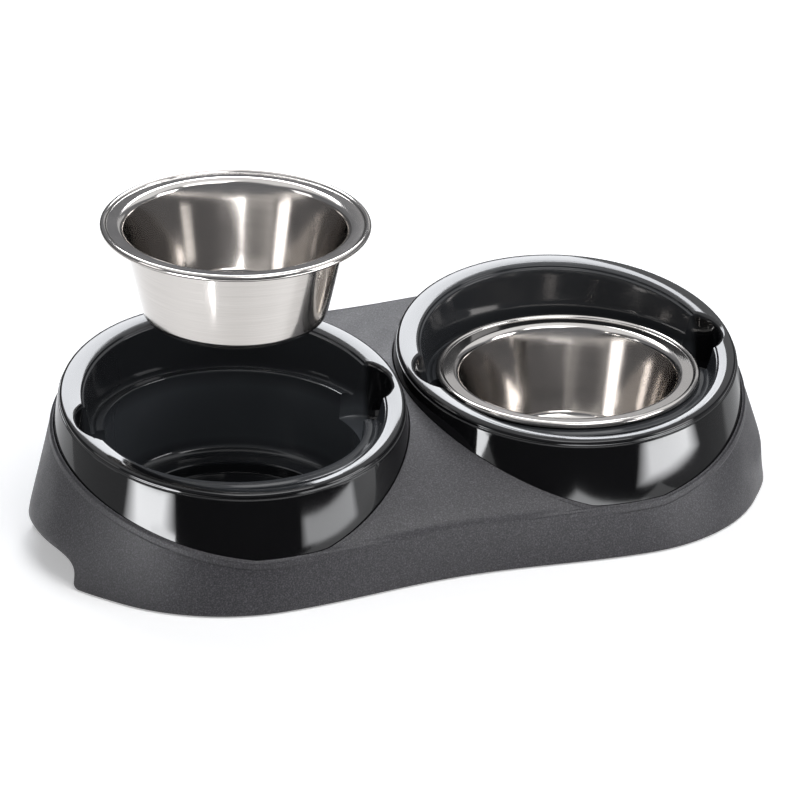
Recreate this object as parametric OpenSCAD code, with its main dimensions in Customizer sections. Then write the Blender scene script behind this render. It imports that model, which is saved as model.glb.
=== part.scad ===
// Double feeding stand for a pet: a moulded stand with two tilted glossy wells,
// two loose steel bowls and four rubber feet. The right bowl is seated in its
// well and the left one is held above its own, straight over its seat.

/* [Bowls] */
// Diameter of a bowl over its rolled edge
bowl_d = 160; // [150:1:168]
// Height of a bowl from its base to the top of its rolled edge
bowl_h = 60; // [54:1:64]
// Thickness of the steel
steel_t = 1; // [0.8:0.1:1.5]
// Diameter of the rolled edge
bead_d = 4; // [3.2:0.1:5]
// How much smaller the flat base is than the bowl, on the radius
base_in = 32; // [30:0.5:36]
// Outside radius where the base turns into the wall
base_round = 7.5; // [6:0.5:9]
// Width of the flange with its rolled edge
flange_w = 9.5; // [8:0.5:11]
// Radius under the flange where it turns into the wall
flange_round = 4; // [3:0.5:6]
// Height of the left bowl above its seat
lift = 128; // [100:1:160]

/* [Wells] */
// Room round a seated bowl, from its edge to the wall of the well
bowl_room = 6; // [5:0.5:8]
// How far the ledge reaches in under the edge of a bowl
ledge_reach = 2.4; // [2:0.1:3]
// Thickness of the glossy moulding
well_t = 2.5; // [2:0.1:3]
// Height of the base of a seated bowl above the ground
seat_z = 16.4; // [14:0.2:18]
// Width of the raised ridge on the inner edge of the ledge
ridge_w = 4.6; // [4:0.1:5.5]
// Height of that ridge above the rest of the ledge
ridge_h = 1.5; // [1:0.1:2]
// How much narrower the cup is at its floor than at the ledge, on the radius
cup_taper = 3.6; // [2:0.2:5]
// Radius where the wall of the cup turns into its floor
cup_round = 6; // [4:0.5:8]
// Room round the flat base of a bowl in the round recess in the floor of the cup
recess_room = 9.5; // [8.5:0.5:12]
// Depth of that recess
recess_h = 7.5; // [6:0.5:9]
// Size of the chamfer round the edge of that recess
recess_round = 1; // [0.6:0.1:2]
// Room between the base of a seated bowl and the floor of the recess
base_room = 3.4; // [2:0.2:4]
// Width of a finger notch
notch_w = 39; // [30:1:41]
// Depth of a finger notch below the ledge
notch_h = 16; // [12:1:20]
// Radius of the rounded edge of a finger notch along the rim
notch_round = 3; // [1:0.2:3.4]

/* [Rims] */
// How far the front of the opening dips below the ridge of the ledge
rim_dip = 0.4; // [-2:0.2:1]
// Forward tilt of the rims
rim_tilt = 11.2; // [9:0.2:12]
// Room beside a seated bowl, from its edge to the opening inside the rim
mouth_side = 11.3; // [9:0.5:13]
// Room before and behind a seated bowl, from its edge to the opening inside the rim
mouth_front = 7.3; // [6.5:0.1:9]
// Width of the band of a rim at the sides
band_side = 13.4; // [11:0.2:16]
// Width of the band of a rim, the mean of its front and its rear
band_front = 9.9; // [8.5:0.2:12]
// How far the middle of a rim lies behind the axis of its well
rim_back = 3; // [1:0.1:4]
// Height of the rounded outer side of a rim
rim_side = 3; // [2.5:0.1:4]
// Height of the small step inside a rim
mouth_step = 2.4; // [1.8:0.1:3]
// Width of the small step inside a rim
mouth_step_w = 1.4; // [1:0.1:2]
// Outward slope of the collar under a rim, as a share of its height
collar_slope_share = 0.16; // [0.12:0.01:0.18]
// How far the collar reaches down behind the edge of the stand
collar_tuck = 5; // [4:0.5:6]

/* [Stand] */
// Thickness of the stand's moulding
stand_t = 2.6; // [2.2:0.1:3]
// Narrowest gap between the two rims
neck_w = 6; // [5:0.5:10]
// How far the centre of each end circle on the ground lies outside the axis of its well
foot_shift = 8.6; // [6:0.2:14]
// How far the end circles on the ground reach outside the rims
foot_out = 13; // [9:0.1:14]
// How far the long sides draw in at the middle, on the ground
foot_waist = 8.4; // [4:0.2:10]
// How far the long sides draw in at the middle, along the top edge
top_waist = 4.4; // [2:0.2:6]
// How far the stand's top edge stands outside the collars
edge_proud = 2.4; // [2.2:0.1:3]
// Radius of the stand's top edge
edge_round = 2.8; // [2:0.1:3.5]
// Height of the collar between a rim and the top edge at the front
collar_front_h = 38.8; // [34:0.5:42]
// Height of the collar between a rim and the top edge at the rear
collar_rear_h = 18.8; // [16:0.2:24]
// Extra height of the bridge between the wells
bridge_rise = 19; // [12:0.5:20]
// Width of a handhold at the ground
hold_w = 88; // [72:1:96]
// Height of a handhold
hold_h = 21; // [17:0.5:26]
// How far the middle of a handhold lies behind the middle of the stand
hold_back = 5.4; // [0:0.2:8]
// Radius of the rounded corners at the foot of a handhold
hold_corner = 4; // [2:0.5:6]
// How far the lip round a handhold flares out
lip_out = 7.6; // [3:0.2:9]
// Width over which that lip keeps its full flare
lip_flat_w = 18; // [10:1:40]
// Width over which that lip fades out
lip_w = 145; // [110:1:150]
// How much of that flare is left at the ground, as a share
lip_foot_share = 0.85; // [0.2:0.05:1]
// Share of the end's roundness that the lip takes away, to run straighter
lip_plain_share = 0.37; // [0:0.01:0.5]
// Depth of the rib under the bridge
rib_h = 20; // [12:1:24]

/* [Feet] */
// Diameter of a rubber foot
foot_d = 14; // [11:0.5:16]
// How far a foot stands out below the stand
foot_gap = 1.2; // [0.8:0.1:2]
// Depth of the pocket that holds the head of a foot
pocket_h = 1.6; // [1.2:0.1:2.4]
// Diameter of a foot's stem
stem_d = 7; // [5:0.5:8]
// Length of a foot's stem
stem_h = 7; // [5:0.5:9]
// Wall of a boss round the pocket of a foot
boss_t = 2.4; // [2:0.1:3]
// Angle of a foot round its end circle
foot_angle = 52; // [42:1:60]

/* [Hidden] */

stand_color = [0.27, 0.27, 0.29];
gloss_color = [0.05, 0.05, 0.06];
steel_color = [0.78, 0.77, 0.75];
rubber_color = [0.10, 0.10, 0.10];

fit_gap = 0.3;
overrun = 20;
round_fn = 128;
small_fn = 48;

// Numbers of columns round an outline: one end, one long side, and one rim
end_n = 32;
side_n = 12;
rim_n = 72;

// Angles of the rows of the rounded edge of a finger notch
notch_turns = [0, 30, 55, 80];
// Heights of the rows of the skirt, as shares of the height of the top edge
skirt_shares = [0.14, 0.27, 0.36, 0.44, 0.54, 0.66, 0.82];
// Places of the rows of the top, as shares of the way from its edge to the middle
top_shares = [0.06, 0.14, 0.24, 0.36, 0.5, 0.65, 0.8, 0.95];
// Peak of the bridge: a share below 1 moves it forward
bridge_peak_share = 0.72;
// Part of that rise that the top edge follows outside the wells
bridge_side_share = 0.42;
// How flat the bridge is across, how sharply the lip turns at its widest, and how square the handhold is
bridge_power = 4;
lip_turn = 10;
hold_power = 4.2;

bowl_r = bowl_d / 2;
bead_r = bead_d / 2;
base_r = bowl_r - base_in;
flange_z = bowl_h - bead_r - steel_t / 2;
turn_x = bowl_r - flange_w;
turn_z = flange_z - flange_round;
wall_lean = atan2(turn_x - base_r, turn_z - base_round)
    - asin((base_round + flange_round) / norm([turn_x - base_r, turn_z - base_round]));
ledge_in_r = bowl_r - ledge_reach;
ledge_out_r = bowl_r + bowl_room;
ledge_z = seat_z + bowl_h - bead_d - fit_gap;
recess_r = base_r + recess_room;
recess_z = seat_z - base_room;
floor_z = recess_z + recess_h;
mouth_rx = bowl_r + mouth_side;
mouth_ry = bowl_r + mouth_front;
rim_rx = mouth_rx + band_side;
rim_ry = mouth_ry + band_front;
rim_z = ledge_z - rim_dip + mouth_ry * tan(rim_tilt);
well_x = rim_rx + neck_w / 2;
foot_spread = well_x + foot_shift;
foot_round = rim_ry + foot_out;
edge_front_z = rim_at(rim_back - rim_ry) - collar_front_h;
edge_rear_z = rim_at(rim_back + rim_ry) - collar_rear_h;
notch_r = notch_w / 2;
notch_x = ledge_in_r + ledge_reach / 2;
edge_mid_z = (edge_front_z + edge_rear_z) / 2;
edge_front_y = rim_back - rim_ry - edge_proud - collar_out(rim_at(rim_back - rim_ry) - edge_front_z);
edge_rear_y = rim_back + rim_ry + edge_proud + collar_out(rim_at(rim_back + rim_ry) - edge_rear_z);
boss_r = foot_d / 2 + fit_gap + boss_t;
boss_h = foot_gap + pocket_h + stem_h + boss_t;
foot_reach = foot_round - stand_t - boss_r;

function mix(a, b, share) = a + (b - a) * share;
function clamp(v, low, high) = max(low, min(high, v));

// Height of the rim plane, which rises to the rear
function rim_at(y) = rim_z + y * tan(rim_tilt);
// How far the collar stands outside the rim at a depth below it
function collar_out(depth) = collar_slope_share * (depth - rim_side);

// Height of the top of the stand: a slope to the front, with a bridge that bulges between the wells
function depth_share(y) =
    clamp((y - edge_front_y - top_waist) / (edge_rear_y - edge_front_y - 2 * top_waist), 0, 1);
function bridge_share(x, y) =
    sin(180 * pow(depth_share(y), bridge_peak_share))
    * mix(1, bridge_side_share, pow(clamp(abs(x) / well_x, 0, 1), bridge_power));
function top_at(x, y) =
    mix(edge_front_z, edge_rear_z, depth_share(y)) + bridge_rise * bridge_share(x, y);

// Columns round the stand, as [place along the middle line, direction], from the right end round
half_columns = concat(
    [for (i = [0 : end_n / 2 - 1]) [1, 180 * i / end_n]],
    [for (i = [0 : side_n]) [1 - 2 * i / side_n, 90]],
    [for (i = [end_n / 2 + 1 : end_n]) [-1, 180 * i / end_n]]);
columns = concat(half_columns,
    [for (i = [len(half_columns) - 2 : -1 : 1]) [half_columns[i][0], -half_columns[i][1]]]);

// A point of an outline that has round ends and drawn-in long sides
function outline(col, spread, rx, ry, back, waist, inset) = [
    col[0] * spread + (rx - inset) * cos(col[1]),
    back + (ry - inset - waist * pow(cos(90 * col[0]), 2)) * sin(col[1])];
function ground_point(col, inset) =
    outline(col, foot_spread, foot_round, foot_round, 0, foot_waist, inset);
function edge_point(col, inset) =
    let (y = rim_back + rim_ry * sin(col[1]),
        x = col[0] * well_x + rim_rx * cos(col[1]),
        out = edge_proud + collar_out(rim_at(y) - top_at(x, y)))
    outline(col, well_x, rim_rx + out, rim_ry + out, rim_back, top_waist, inset);
function edge_height(col) = top_at(edge_point(col, 0)[0], edge_point(col, 0)[1]);

// How far the lip round a handhold flares out: most at the height of the handhold, and nothing at the top
function lip_share(z, top) =
    let (rise = mix(lip_foot_share, 1, z / hold_h),
        fall = (top - z) / (top - hold_h))
    fall <= 0 ? 0 : pow(pow(rise, -lip_turn) + pow(fall, -lip_turn), -1 / lip_turn);
function lip_at(y, z, top) =
    let (round_drop = foot_round - sqrt(pow(foot_round, 2) - pow(min(abs(y), lip_w / 2), 2)),
        fade = clamp((2 * abs(y - hold_back) - lip_flat_w) / (lip_w - lip_flat_w), 0, 1))
    (lip_out + lip_plain_share * round_drop) * lip_share(z, top) * pow(cos(90 * fade), 2);

function skirt_point(col, inset, share) =
    let (low = ground_point(col, inset),
        high = edge_point(col, inset),
        flat = mix(low, high, share),
        top = edge_height(col) - edge_round,
        z = mix(foot_gap, top, share),
        out = lip_at(flat[1], z, top))
    [flat[0] + sign(col[0]) * out, flat[1], z];
function edge_turn_point(col, inset, angle) =
    let (turn = max(edge_round - inset, edge_round / 4),
        top = edge_point(col, inset + turn * (1 - cos(angle))))
    [top[0], top[1], edge_height(col) - inset - turn * (1 - sin(angle))];
function top_point(col, inset, share) =
    let (start = edge_point(col, max(edge_round, inset)),
        middle = [col[0] * well_x, rim_back],
        flat = mix(start, middle, share))
    [flat[0], flat[1], top_at(flat[0], flat[1]) - inset];

// Rows of points, joined one to the next. A loft has closed ends, a hoop joins its last row to its first.
// The quads are cut in two one way in each quarter of a row, so that both ends of the stand match.
function quad_faces(p, q, r, s, turn) = turn ? [[p, r, q], [p, s, r]] : [[q, p, s], [q, s, r]];
function row_faces(a, b, n) = [for (k = [0 : n - 1])
    let (l = (k + 1) % n)
    each quad_faces(a * n + k, a * n + l, b * n + l, b * n + k, k % (n / 2) < n / 4)];
function cap_faces(row, n) = [for (k = [0 : n / 2 - 1]) each concat(
    k < n / 2 - 1 ? [[row * n + k, row * n + k + 1, row * n + n - k - 1]] : [],
    k > 0 ? [[row * n + k, row * n + n - k - 1, row * n + n - k]] : [])];
function flipped(faces) = [for (f = faces) [f[2], f[1], f[0]]];

module loft(rows) {
    n = len(rows[0]);
    polyhedron(
        points = [for (row = rows) each row],
        faces = concat(
            cap_faces(0, n),
            [for (r = [0 : len(rows) - 2]) each row_faces(r, r + 1, n)],
            flipped(cap_faces(len(rows) - 1, n))));
}

module hoop(rows) {
    n = len(rows[0]);
    polyhedron(
        points = [for (row = rows) each row],
        faces = [for (r = [0 : len(rows) - 1]) each row_faces(r, (r + 1) % len(rows), n)]);
}

// The stand as a full block, drawn in by an inset on every side, and reaching down to a height
module stand_block(inset, low) {
    loft(concat(
        [[for (col = columns) let (foot = skirt_point(col, inset, 0)) [foot[0], foot[1], low]]],
        [for (share = skirt_shares) [for (col = columns) skirt_point(col, inset, share)]],
        [for (angle = [0 : 30 : 90]) [for (col = columns) edge_turn_point(col, inset, angle)]],
        [for (share = top_shares) [for (col = columns) top_point(col, inset, share)]]));
}

// A point of the collar's outside at a depth below the rim plane, in the part's own frame
function collar_point(angle, depth, grow) =
    let (out = collar_out(depth) + grow,
        y = rim_back + (rim_ry + out) * sin(angle))
    [well_x + (rim_rx + out) * cos(angle), y, rim_at(y) - depth];
// Depth at which the collar passes through the top of the stand
function edge_depth(angle) =
    let (probe = collar_point(angle, rim_z - edge_mid_z, 0))
    rim_at(probe[1]) - top_at(probe[0], probe[1]);
function rim_angles() = [for (i = [0 : rim_n - 1]) 360 * i / rim_n];

module well_opening() {
    loft([
        [for (a = rim_angles()) collar_point(a, edge_depth(a) + collar_tuck + fit_gap, fit_gap)],
        [for (a = rim_angles()) collar_point(a, edge_depth(a) - overrun, fit_gap)]]);
}

module both_ends() {
    children();
    mirror([1, 0, 0]) children();
}

// Half of the arch of a handhold, from its rounded foot up to its top
function hold_half() =
    let (start = asin(pow((foot_gap + hold_corner) / hold_h, hold_power / 2)),
        foot_y = hold_w / 2 * pow(cos(start), 2 / hold_power) + hold_corner)
    concat(
        [[foot_y, -overrun]],
        [for (i = [0 : 4]) let (a = 90 - 22.5 * i)
            [foot_y - hold_corner * cos(a), foot_gap + hold_corner * (1 - sin(a))]],
        [for (i = [1 : end_n / 2]) let (a = mix(start, 90, 2 * i / end_n))
            [hold_w / 2 * pow(cos(a), 2 / hold_power), hold_h * pow(sin(a), 2 / hold_power)]]);

module handhold() {
    half = hold_half();
    translate([foot_spread, hold_back, 0])
        rotate([90, 0, 90])
            linear_extrude(foot_round + lip_out + overrun)
                polygon(concat(
                    half,
                    [for (i = [len(half) - 2 : -1 : 0]) [-half[i][0], half[i][1]]]));
}

module at_feet() {
    for (side = [-1, 1], end = [-1, 1])
        translate([
            end * (foot_spread + foot_reach * cos(foot_angle)),
            side * foot_reach * sin(foot_angle),
            0]) children();
}

module bridge_rib() {
    translate([-neck_w / 6, 0, 0])
        rotate([90, 0, 90])
            linear_extrude(neck_w / 3)
                polygon([
                    [edge_front_y, edge_front_z - rib_h],
                    [edge_rear_y, edge_rear_z - rib_h],
                    [edge_rear_y, edge_rear_z + bridge_rise],
                    [edge_front_y, edge_front_z + bridge_rise]]);
}

module stand_base() {
    color(stand_color)
        difference() {
            stand_block(0, foot_gap);
            difference() {
                stand_block(stand_t, -overrun);
                at_feet() cylinder(r = boss_r, h = boss_h, $fn = small_fn);
                bridge_rib();
            }
            both_ends() well_opening();
            both_ends() handhold();
            at_feet() {
                cylinder(d = foot_d + 2 * fit_gap, h = foot_gap + pocket_h, $fn = small_fn);
                cylinder(d = stem_d + 2 * fit_gap, h = foot_gap + pocket_h + stem_h, $fn = small_fn);
            }
        }
}

// The rolled-over rim with the collar outside it and the wall of the well inside it
function mouth_point(angle, drop, grow) =
    let (y = (mouth_ry + grow) * sin(angle))
    [well_x + (mouth_rx + grow) * cos(angle), y, rim_at(y) - drop];
function rim_point(angle, drop, grow) =
    let (y = rim_back + (rim_ry + grow) * sin(angle))
    [well_x + (rim_rx + grow) * cos(angle), y, rim_at(y) - drop];
function ledge_point(angle, r, z) = [well_x + r * cos(angle), r * sin(angle), z];

module rim_ring() {
    low = ledge_z - 2 * well_t;
    step = rim_side / 4;
    hoop([
        [for (a = rim_angles()) collar_point(a, edge_depth(a) + collar_tuck, 0)],
        [for (a = rim_angles()) collar_point(a, rim_side + step, -step / 2)],
        [for (a = rim_angles()) rim_point(a, rim_side, step / 2)],
        [for (a = rim_angles()) rim_point(a, rim_side / 2, 0)],
        [for (a = rim_angles()) rim_point(a, rim_side / 6, -rim_side / 3)],
        [for (a = rim_angles()) rim_point(a, 0, -rim_side)],
        [for (a = rim_angles()) mouth_point(a, 0, mouth_step_w / 2)],
        [for (a = rim_angles()) mouth_point(a, mouth_step_w / 2, 0)],
        [for (a = rim_angles()) mouth_point(a, mouth_step - mouth_step_w / 2, -mouth_step_w / 4)],
        [for (a = rim_angles()) mouth_point(a, mouth_step, -mouth_step_w)],
        [for (a = rim_angles()) ledge_point(a, ledge_out_r, low)],
        [for (a = rim_angles()) ledge_point(a, ledge_out_r + well_t, low)],
        [for (a = rim_angles()) mouth_point(a, rim_side + well_t / 2, well_t / 2)],
        [for (a = rim_angles()) collar_point(a, rim_side + well_t / 2, -well_t - step)],
        [for (a = rim_angles()) collar_point(a, edge_depth(a) + collar_tuck, -well_t)]]);
}

// Both faces of the cup, as [radius, height] from the ledge to the middle, drawn out by the wall
function cup_face(out) =
    let (lean = atan(cup_taper / (ledge_z - floor_z)),
        round_x = ledge_in_r - cup_taper - cup_round,
        round_z = floor_z + cup_round)
    concat(
        [for (i = [0 : 6]) let (a = mix(lean, 90, i / 6))
            [round_x + (cup_round + out) * cos(a), round_z - (cup_round + out) * sin(a)]],
        [[recess_r + out + recess_round, floor_z - out],
         [recess_r + out, floor_z - out - recess_round],
         [recess_r + out - recess_round, recess_z - out],
         [0, recess_z - out]]);

module cup() {
    translate([well_x, 0, 0])
        rotate_extrude($fn = round_fn)
            polygon(concat(
                [[ledge_out_r + well_t / 2, ledge_z - ridge_h],
                 [ledge_in_r + ridge_w + ridge_h, ledge_z - ridge_h],
                 [ledge_in_r + ridge_w, ledge_z - ridge_h / 4],
                 [ledge_in_r + ridge_w - ridge_h / 4, ledge_z],
                 [ledge_in_r + ridge_h / 2, ledge_z],
                 [ledge_in_r, ledge_z - ridge_h / 2]],
                cup_face(0),
                [for (i = [len(cup_face(well_t)) - 1 : -1 : 0]) cup_face(well_t)[i]],
                [[ledge_in_r + well_t, ledge_z - ridge_h - well_t],
                 [ledge_out_r + well_t / 2, ledge_z - ridge_h - well_t]]));
}

// The hollow of a well, measured to the middle of its wall
module hollow() {
    half = well_t / 2;
    loft([
        [for (a = rim_angles()) ledge_point(a, ledge_in_r - cup_taper + half, floor_z + cup_round)],
        [for (a = rim_angles()) ledge_point(a, ledge_in_r + half, ledge_z - ridge_h - half)],
        [for (a = rim_angles()) ledge_point(a, ledge_out_r + half, ledge_z - ridge_h - half / 2)],
        [for (a = rim_angles()) mouth_point(a, 0, half)],
        [for (a = rim_angles()) mouth_point(a, -overrun, half)]]);
}

module notch_posts(r, low, high) {
    for (side = [-1, 1])
        translate([well_x + side * notch_x, 0, low])
            cylinder(r = r, h = high - low, $fn = round_fn / 2);
}

// A finger notch, straight up to the rim and with a rounded edge that follows the tilt of the rim
function notch_edge(middle, turn) = [for (i = [0 : end_n - 1])
    let (a = 360 * i / end_n,
        r = notch_r + notch_round * (1 - cos(turn)))
    [middle + r * cos(a), r * sin(a), rim_at(r * sin(a)) - notch_round * (1 - sin(turn))]];
module notch(side) {
    middle = well_x + side * notch_x;
    brim = notch_edge(middle, notch_turns[len(notch_turns) - 1]);
    loft(concat(
        [[for (p = notch_edge(middle, 0)) [p[0], p[1], ledge_z - notch_h]]],
        [for (turn = notch_turns) notch_edge(middle, turn)],
        [[for (p = brim) [p[0], p[1], rim_z + overrun]]]));
}

module well() {
    post_low = ledge_z - notch_h - well_t;
    difference() {
        union() {
            cup();
            rim_ring();
            difference() {
                notch_posts(notch_r + well_t, post_low, rim_z + overrun);
                hollow();
                translate([0, 0, rim_z - rim_side / 2])
                    rotate([rim_tilt, 0, 0])
                        translate([0, -rim_rx, 0])
                            cube([2 * well_x + rim_rx, 2 * rim_rx, 2 * overrun]);
            }
        }
        for (side = [-1, 1]) notch(side);
    }
}

module left_well() {
    color(gloss_color) mirror([1, 0, 0]) well();
}

module right_well() {
    color(gloss_color) well();
}

// Both faces of a bowl, as [radius, height] from the middle of the base to the rolled edge
function bowl_face(in) =
    concat(
        [[0, in]],
        [for (i = [0 : 6]) let (a = mix(-90, -wall_lean, i / 6))
            [base_r + (base_round - in) * cos(a), base_round + (base_round - in) * sin(a)]],
        [for (i = [0 : 6]) let (a = mix(180 - wall_lean, 90, i / 6))
            [turn_x + (flange_round + in) * cos(a), turn_z + (flange_round + in) * sin(a)]],
        [[bowl_r - bead_r, flange_z + in]]);

module bowl() {
    inside = bowl_face(steel_t);
    rotate_extrude($fn = round_fn) {
        polygon(concat(
            bowl_face(0),
            [for (i = [len(inside) - 1 : -1 : 0]) inside[i]]));
        translate([bowl_r - bead_r, bowl_h - bead_r])
            circle(r = bead_r, $fn = small_fn / 2);
    }
}

module left_bowl() {
    color(steel_color) translate([-well_x, 0, seat_z + lift]) bowl();
}

module right_bowl() {
    color(steel_color) translate([well_x, 0, seat_z]) bowl();
}

module foot(end, side) {
    color(rubber_color)
        translate([
            end * (foot_spread + foot_reach * cos(foot_angle)),
            side * foot_reach * sin(foot_angle),
            0]) {
            cylinder(d = foot_d, h = foot_gap + pocket_h - fit_gap, $fn = small_fn);
            cylinder(d = stem_d, h = foot_gap + pocket_h + stem_h - fit_gap, $fn = small_fn);
        }
}

module front_left_foot() {
    foot(-1, -1);
}

module front_right_foot() {
    foot(1, -1);
}

module rear_left_foot() {
    foot(-1, 1);
}

module rear_right_foot() {
    foot(1, 1);
}

stand_base();
left_well();
right_well();
left_bowl();
right_bowl();
front_left_foot();
front_right_foot();
rear_left_foot();
rear_right_foot();
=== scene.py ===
import math

import bmesh
import bpy
import numpy as np
from mathutils import Matrix, Quaternion, Vector


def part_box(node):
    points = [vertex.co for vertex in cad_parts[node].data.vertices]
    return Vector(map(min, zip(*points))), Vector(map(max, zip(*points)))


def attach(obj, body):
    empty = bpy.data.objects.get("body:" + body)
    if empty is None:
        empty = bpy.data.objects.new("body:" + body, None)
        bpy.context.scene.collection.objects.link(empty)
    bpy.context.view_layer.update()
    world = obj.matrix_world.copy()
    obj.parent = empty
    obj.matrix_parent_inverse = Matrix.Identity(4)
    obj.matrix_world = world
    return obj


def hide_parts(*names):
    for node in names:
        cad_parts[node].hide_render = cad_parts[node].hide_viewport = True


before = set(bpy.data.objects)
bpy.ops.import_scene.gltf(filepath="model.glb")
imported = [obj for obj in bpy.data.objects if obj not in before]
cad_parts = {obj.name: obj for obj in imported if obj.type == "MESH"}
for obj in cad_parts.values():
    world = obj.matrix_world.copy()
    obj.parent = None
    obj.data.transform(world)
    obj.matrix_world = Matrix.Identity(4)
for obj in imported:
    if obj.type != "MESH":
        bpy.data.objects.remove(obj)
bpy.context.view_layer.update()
print("frame loaded")

mm = 0.001  # every size of the pieces below is in millimetres


# ---- camera: stands where the photographer stood, with its lens worked out for a square frame of 800 by 800
cameraSetup = {
    "azimuth": -21.861, "elevation": 25.063, "roll": 0.951,
    "distance": 4.2746, "aimRight": -0.001544, "aimUp": 0.064744,
    "focalShare": 7062.8 / 800,  # focal length in picture widths
    "sensor": 36,
}


def makeCamera(setup):
    az, el, roll = (math.radians(setup[key]) for key in ("azimuth", "elevation", "roll"))
    back = Vector((math.sin(az) * math.cos(el), -math.cos(az) * math.cos(el), math.sin(el)))
    right = Vector((math.cos(az), math.sin(az), 0))
    up = back.cross(right)
    aim = right * setup["aimRight"] + up * setup["aimUp"]
    turnedRight = right * math.cos(roll) + up * math.sin(roll)
    turnedUp = up * math.cos(roll) - right * math.sin(roll)
    data = bpy.data.cameras.new("productCamera")
    data.sensor_fit = "HORIZONTAL"
    data.sensor_width = setup["sensor"]
    data.lens = setup["sensor"] * setup["focalShare"]
    camera = bpy.data.objects.new("productCamera", data)
    bpy.context.scene.collection.objects.link(camera)
    place = Matrix((turnedRight, turnedUp, back)).transposed().to_4x4()
    place.translation = aim + back * setup["distance"]
    camera.matrix_world = place
    bpy.context.scene.camera = camera


makeCamera(cameraSetup)
bpy.context.scene.view_settings.view_transform = "Standard"
print("camera placed")


# ---- small helpers for the pieces
def cosDeg(a):
    return np.cos(np.radians(a))


def sinDeg(a):
    return np.sin(np.radians(a))


def mix(a, b, share):
    return a + (b - a) * share


# in metres: points nearer than the first are joined, and edges shorter than the second are dissolved
weldGap, shortEdge = 0.00002, 0.00001


def meshPiece(name, points, faces, material, mirrored=False):
    points = np.asarray(points, float) * mm
    if mirrored:
        points = points * np.array([-1, 1, 1])
    mesh = bpy.data.meshes.new(name)
    mesh.from_pydata(points.tolist(), [], faces)
    bm = bmesh.new()
    bm.from_mesh(mesh)
    bmesh.ops.remove_doubles(bm, verts=bm.verts, dist=weldGap)
    bmesh.ops.dissolve_degenerate(bm, edges=bm.edges, dist=shortEdge)
    if mirrored:
        bmesh.ops.reverse_faces(bm, faces=bm.faces)
    bm.to_mesh(mesh)
    bm.free()
    mesh.shade_smooth()
    piece = bpy.data.objects.new(name, mesh)
    bpy.context.scene.collection.objects.link(piece)
    mesh.materials.append(material)
    return piece


def gridFaces(rows, columns, closed):
    faces = []
    for r in range(rows - 1):
        for c in range(columns if closed else columns - 1):
            d = (c + 1) % columns
            faces.append((r * columns + c, r * columns + d, (r + 1) * columns + d, (r + 1) * columns + c))
    return faces


def finishWith(piece, kind, **settings):
    # applies one modifier and keeps its result as a plain mesh
    modifier = piece.modifiers.new(kind.lower(), kind)
    for key, value in settings.items():
        setattr(modifier, key, value)
    graph = bpy.context.evaluated_depsgraph_get()
    finished = bpy.data.meshes.new_from_object(piece.evaluated_get(graph))
    piece.modifiers.clear()
    old = piece.data
    piece.data = finished
    bpy.data.meshes.remove(old)
    piece.data.name = piece.name


def carve(piece, tool, operation):
    finishWith(piece, "BOOLEAN", operation=operation, solver="EXACT", object=tool)
    bpy.data.objects.remove(tool)


# ---- shared form of the stand and its wells, right half, in millimetres
standForm = {
    # rims of the wells and the neck between them
    "rimZ": 88.986, "rimTilt": 11.2, "rimRx": 104.7, "rimRy": 97.2, "rimBack": 3, "rimSide": 3, "neck": 6,
    # collars, and the top edge of the stand round them
    "collarSlope": 0.16, "edgeProud": 2.4, "edgeRound": 2.8, "edgeFront": 31.53, "edgeRear": 90.03, "topWaist": 4.4,
    # footprint, and the bridge between the wells
    "footSpread": 116.3, "footRound": 110.2, "footWaist": 8.4, "footGap": 1.2,
    "bridgeRise": 19, "bridgePeak": 0.72, "bridgeSide": 0.42, "bridgeSpan": 4,
    # handholds, and the flare round them
    "holdWidth": 88, "holdHeight": 21, "holdBack": 5.4, "holdPower": 4.2, "holdCorner": 4, "holdBend": 0.8,
    "lipOut": 7.5, "lipFlat": 18, "lipWidth": 145, "lipFoot": 0.85, "lipPlain": 0.37, "lipTurn": 10,
    # seam round a collar, and the wall
    "seamGap": 0.3, "seamRound": 0.6, "seamDeep": 5, "wall": 1.9,
}
holdFootTurns = (18, 36, 54, 72, 90)
seek = {"depth": 40, "depthRounds": 8, "turn": 60, "turnRounds": 40}  # first guesses and rounds of the searches
stand = standForm
wellX = stand["rimRx"] + stand["neck"] / 2


def rimAt(y):
    return stand["rimZ"] + y * math.tan(math.radians(stand["rimTilt"]))


def collarOut(depth):
    return stand["collarSlope"] * (depth - stand["rimSide"])


def edgeY(side, height):
    # how far the top edge reaches to the front or the rear
    rimY = stand["rimBack"] + side * stand["rimRy"]
    return rimY + side * (stand["edgeProud"] + collarOut(rimAt(rimY) - height))


edgeFrontY, edgeRearY = edgeY(-1, stand["edgeFront"]), edgeY(1, stand["edgeRear"])


def topAt(x, y):
    # height of the top surface: it rises to the rear, with a crowned bridge between the wells
    waist = stand["topWaist"]
    deep = np.clip((y - edgeFrontY - waist) / (edgeRearY - edgeFrontY - 2 * waist), 0, 1)
    across = np.clip(np.abs(x) / wellX, 0, 1) ** stand["bridgeSpan"]
    rise = sinDeg(180 * deep ** stand["bridgePeak"]) * mix(1, stand["bridgeSide"], across)
    return mix(stand["edgeFront"], stand["edgeRear"], deep) + stand["bridgeRise"] * rise


def edgePoint(along, turn):
    # place on the top edge: along is 0 at the middle of the stand and 1 at the axis of the well
    y = stand["rimBack"] + stand["rimRy"] * sinDeg(turn)
    x = along * wellX + stand["rimRx"] * cosDeg(turn)
    out = stand["edgeProud"] + collarOut(rimAt(y) - topAt(x, y))
    return (along * wellX + (stand["rimRx"] + out) * cosDeg(turn),
            stand["rimBack"] + (stand["rimRy"] + out - stand["topWaist"] * cosDeg(90 * along) ** 2) * sinDeg(turn))


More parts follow.
